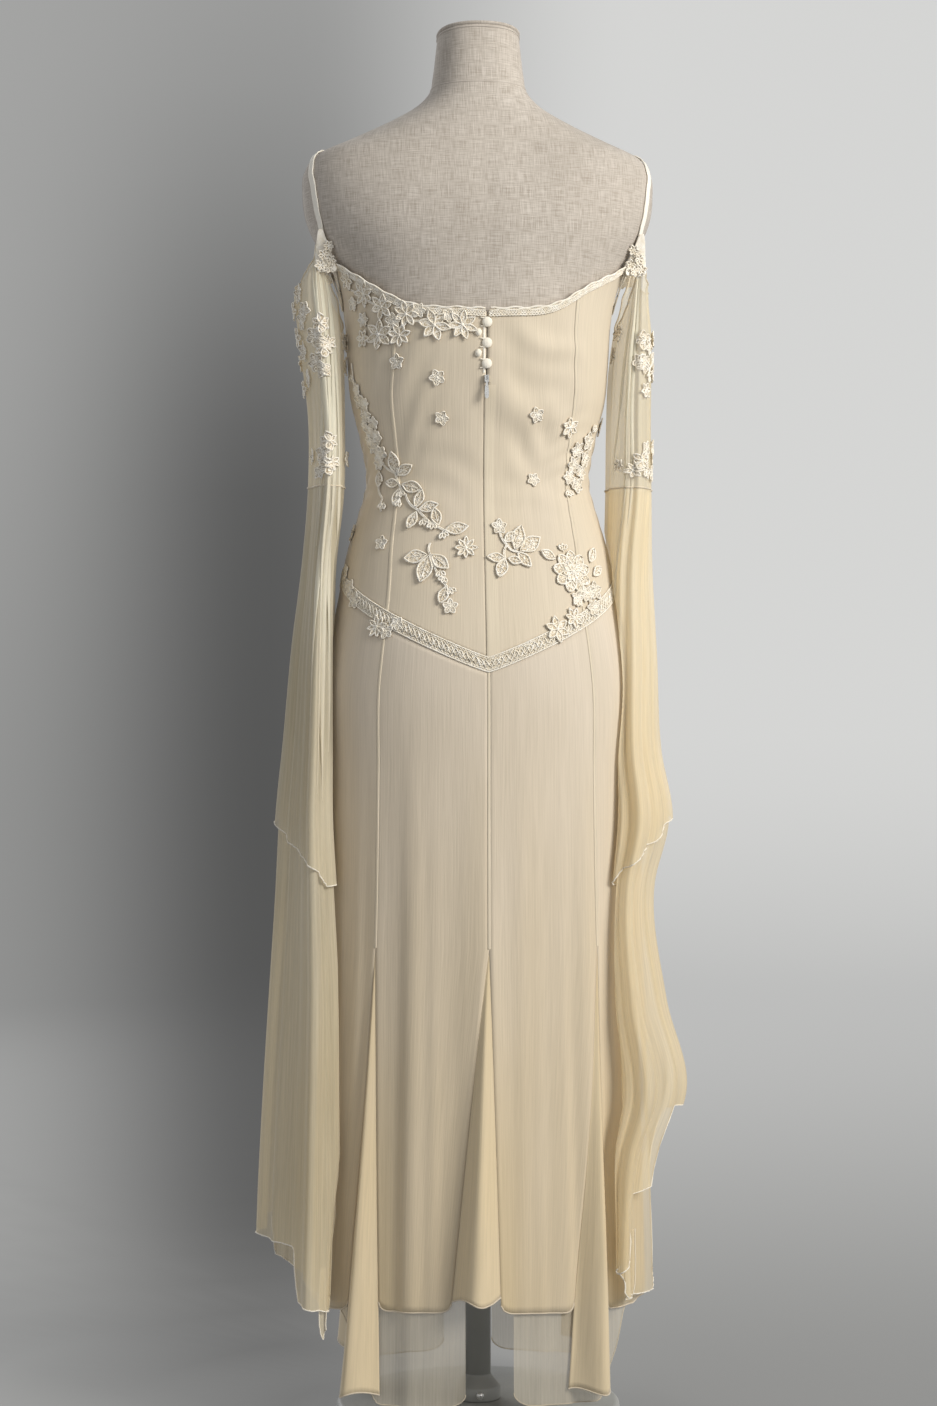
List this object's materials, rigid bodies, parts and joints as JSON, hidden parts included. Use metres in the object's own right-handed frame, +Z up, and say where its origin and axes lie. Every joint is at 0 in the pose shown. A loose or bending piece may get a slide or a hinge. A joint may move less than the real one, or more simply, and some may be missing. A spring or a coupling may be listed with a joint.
{
  "type": "prom dress on a limbless dress form with stand",
  "caption": "Long cream chiffon prom dress with raised lace, cold-shoulder flounced sleeves and a pointed hip band, on a limbless linen dress form with a round base.",
  "frame": {"origin": "on the floor, at the middle of the flat underside of the stand's base, under the pole", "axes": "+Z up, -Y towards the front of the dress, +X towards the wearer's left"},
  "size_m": [0.4357, 0.3102, 1.4631],
  "materials": {
    "chiffon": "matte crinkled chiffon, cream",
    "sheer": "sheer crinkled chiffon, cream",
    "lace": "corded guipure lace, ivory",
    "linen": "slubby linen, greige",
    "metal": "satin",
    "paint": "satin grey"
  },
  "bodies": {
    "dress": {"bodice_back_left": "chiffon", "bodice_side_back_left": "chiffon", "bodice_side_front_left": "chiffon", "bodice_front": "chiffon", "bodice_side_front_right": "chiffon", "bodice_side_back_right": "chiffon", "bodice_back_right": "chiffon", "skirt_back_left": "chiffon", "skirt_side_back_left": "chiffon", "skirt_side_front_left": "chiffon", "skirt_front": "chiffon", "skirt_side_front_right": "chiffon", "skirt_side_back_right": "chiffon", "skirt_back_right": "chiffon", "godet_back": "chiffon", "godet_back_left": "chiffon", "godet_front_left": "chiffon", "godet_front_right": "chiffon", "godet_back_right": "chiffon", "sheer_back_left": "sheer", "sheer_front_left": "sheer", "sheer_front_right": "sheer", "sheer_back_right": "sheer", "hip_band": "lace", "neck_trim": "lace", "sleeve_upper_left": "sheer", "flounce_short_left": "sheer", "flounce_long_left": "sheer", "sleeve_tip_left": "sheer", "strap_left": "lace", "lace_corner_left_back": "lace", "lace_corner_left_front": "lace", "sleeve_upper_right": "sheer", "flounce_short_right": "sheer", "flounce_long_right": "sheer", "sleeve_tip_right": "sheer", "strap_right": "lace", "lace_corner_right_back": "lace", "lace_corner_right_front": "lace", "button_1": "chiffon", "button_2": "chiffon", "button_3": "chiffon", "zip_slider": "metal", "lace_neck_left": "lace", "lace_side_left": "lace", "lace_vine_left": "lace", "lace_spray_left": "lace", "lace_patch_right": "lace", "lace_leaves_right": "lace", "lace_rosette_right": "lace", "lace_band_right": "lace", "lace_sleeve_left_upper": "lace", "lace_sleeve_left_lower": "lace", "lace_sleeve_right_upper": "lace", "lace_sleeve_right_lower": "lace", "form_torso": "linen", "form_neck_cap": "linen", "stand_base": "paint", "stand_pole": "paint"},
    "zip_tab": {"zip_tab": "metal"}
  },
  "joints": [
    {"name": "zip_tab_hinge", "type": "hinge", "parent": "dress", "child": "zip_tab", "pos_m": [0, 0.10034, 1.08015], "axis": [1, 0, 0], "range_deg": [0, 110]}
  ]
}
